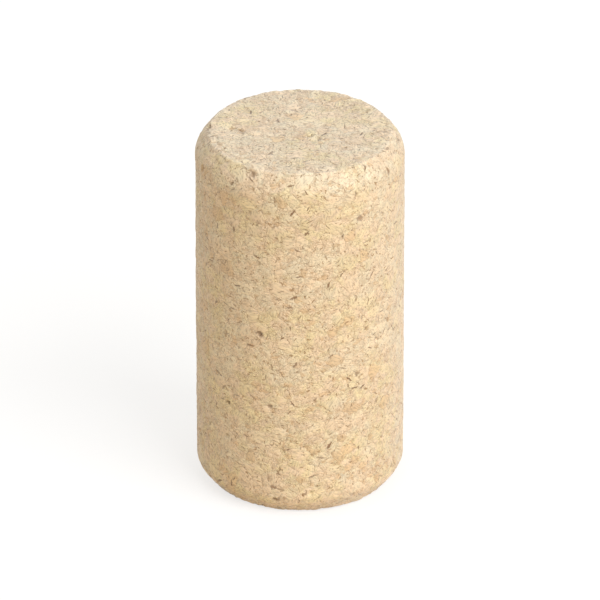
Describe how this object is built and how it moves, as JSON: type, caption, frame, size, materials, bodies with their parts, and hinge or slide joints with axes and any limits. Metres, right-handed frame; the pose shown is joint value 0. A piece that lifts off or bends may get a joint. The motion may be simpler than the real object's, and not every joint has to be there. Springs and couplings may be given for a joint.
{
  "type": "cork stopper",
  "caption": "Straight cork stopper pressed from fine cork granules, with a small rounded bevel at both ends.",
  "frame": {"origin": "centre of the end face that the stopper stands on", "axes": "+Z along the stopper's axis, up from the end that it stands on to the other end; it is round, so X and Y are free"},
  "size_m": [0.024, 0.024, 0.044],
  "materials": {
    "cork": "matt agglomerated cork, pale warm tan, with fine granules, darker specks and small pits"
  },
  "bodies": {
    "root": {"stopper": "cork"}
  },
  "joints": []
}
